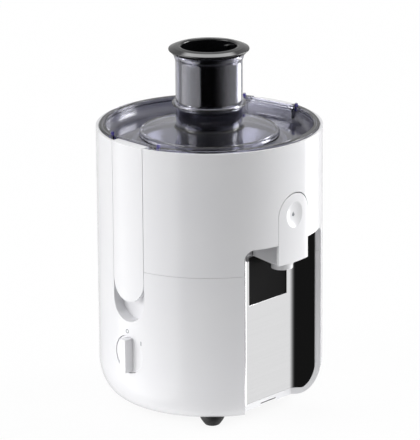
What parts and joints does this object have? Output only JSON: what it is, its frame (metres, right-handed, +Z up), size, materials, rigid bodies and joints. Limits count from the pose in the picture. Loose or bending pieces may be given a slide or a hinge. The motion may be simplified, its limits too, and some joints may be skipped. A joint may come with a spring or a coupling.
{
  "type": "centrifugal juicer",
  "caption": "Round white centrifugal juicer with a clear lid, feed chute and pusher, side latches, drip-stop spout, glass bay and control knob.",
  "frame": {"origin": "on the table, under the motor axis, in the plane of the rubber feet's soles", "axes": "+Z up along the motor axis, -Y towards the spout and glass bay, +X to the spout's right-hand side seen from above with the spout below"},
  "size_m": [0.2275, 0.22, 0.3573],
  "materials": {
    "white_shell": "gloss moulded",
    "smoke_plastic": "clear smoky moulded",
    "black_gloss": "gloss moulded",
    "black_plastic": "satin moulded",
    "grey_plastic": "satin moulded",
    "steel_sheet": "polished",
    "screen_steel": "etched",
    "screw_steel": "zinc plated",
    "bearing_steel": "ground",
    "motor_iron": "laminated",
    "cast_aluminium": "die cast",
    "winding_copper": "enamelled wire",
    "insert_brass": "machined",
    "brush_carbon": "pressed carbon",
    "board_green": "laminate",
    "black_rubber": "moulded",
    "grey_rubber": "moulded"
  },
  "bodies": {
    "base": {"base_housing": "white_shell", "bottom_cover": "black_plastic", "rubber_feet": "black_rubber", "foot_screws": "screw_steel", "recess_panel": "steel_sheet", "recess_window": "black_gloss", "top_deck": "grey_plastic", "deck_screws": "screw_steel", "shaft_seal": "black_rubber", "motor_mounts": "black_rubber", "motor_mount_screws": "screw_steel", "motor_upper_bracket": "cast_aluminium", "motor_lower_bracket": "cast_aluminium", "motor_stator": "motor_iron", "field_coils": "winding_copper", "motor_bolts": "screw_steel", "upper_bearing": "bearing_steel", "lower_bearing": "bearing_steel", "brush_holders": "black_plastic", "carbon_brushes": "brush_carbon", "rotary_switch": "black_plastic", "circuit_board": "board_green", "power_inlet": "black_plastic", "latch_pins": "bearing_steel", "latch_springs": "bearing_steel"},
    "rotor": {"rotor_core": "motor_iron", "rotor_windings": "winding_copper", "commutator": "winding_copper", "motor_shaft": "bearing_steel", "cooling_fan": "black_plastic", "drive_dog": "black_plastic"},
    "knob": {"control_knob": "white_shell"},
    "left_latch": {"latch_left": "white_shell"},
    "right_latch": {"latch_right": "white_shell"},
    "bowl": {"bowl": "white_shell", "juice_collector": "smoke_plastic", "juice_spout": "white_shell", "drip_stop_pin": "bearing_steel", "drip_stop_spring": "bearing_steel"},
    "drip_stop": {"drip_stop_lever": "white_shell", "drip_stop_seal": "black_rubber"},
    "basket": {"basket_frame": "grey_plastic", "filter_screen": "screen_steel", "grater_disc": "screen_steel", "basket_hub": "black_plastic", "hub_insert": "insert_brass"},
    "lid": {"lid": "smoke_plastic", "lid_seal": "grey_rubber", "feed_chute": "smoke_plastic"},
    "pusher": {"pusher": "black_gloss"}
  },
  "joints": [
    {"name": "motor_spin", "type": "hinge", "parent": "base", "child": "rotor", "pos_m": [0, 0, 0.1], "axis": [0, 0, 1], "continuous": true},
    {"name": "knob_turn", "type": "hinge", "parent": "base", "child": "knob", "pos_m": [-0.10474, 0.00732, 0.0695], "axis": [0.9976, -0.0698, 0], "range_deg": [0, 50]},
    {"name": "left_latch_swing", "type": "hinge", "parent": "base", "child": "left_latch", "pos_m": [-0.10275, 0.00719, 0.15], "axis": [-0.0698, -0.9976, 0], "range_deg": [0, 12], "stiffness_Nm_per_rad": 0.05, "springref_deg": -17.19},
    {"name": "right_latch_swing", "type": "hinge", "parent": "base", "child": "right_latch", "pos_m": [0.10275, 0.00719, 0.15], "axis": [-0.0698, 0.9976, 0], "range_deg": [0, 12], "stiffness_Nm_per_rad": 0.05, "springref_deg": -17.19},
    {"name": "bowl_lift", "type": "slide", "parent": "base", "child": "bowl", "axis": [0, 0, 1], "range_m": [0, 0.15]},
    {"name": "drip_stop_tilt", "type": "hinge", "parent": "bowl", "child": "drip_stop", "pos_m": [0, -0.1034, 0.19], "axis": [-1, 0, 0], "range_deg": [0, 6], "stiffness_Nm_per_rad": 0.03, "springref_deg": -8.59},
    {"name": "basket_spin", "type": "hinge", "parent": "bowl", "child": "basket", "pos_m": [0, 0, 0.2], "axis": [0, 0, 1], "continuous": true},
    {"name": "lid_lift", "type": "slide", "parent": "bowl", "child": "lid", "axis": [0, 0, 1], "range_m": [0, 0.12]},
    {"name": "pusher_slide", "type": "slide", "parent": "lid", "child": "pusher", "axis": [0, 0, 1], "range_m": [0, 0.14]}
  ],
  "couplings": [
    {"joint": "basket_spin", "follows": "motor_spin", "ratio": 1}
  ]
}
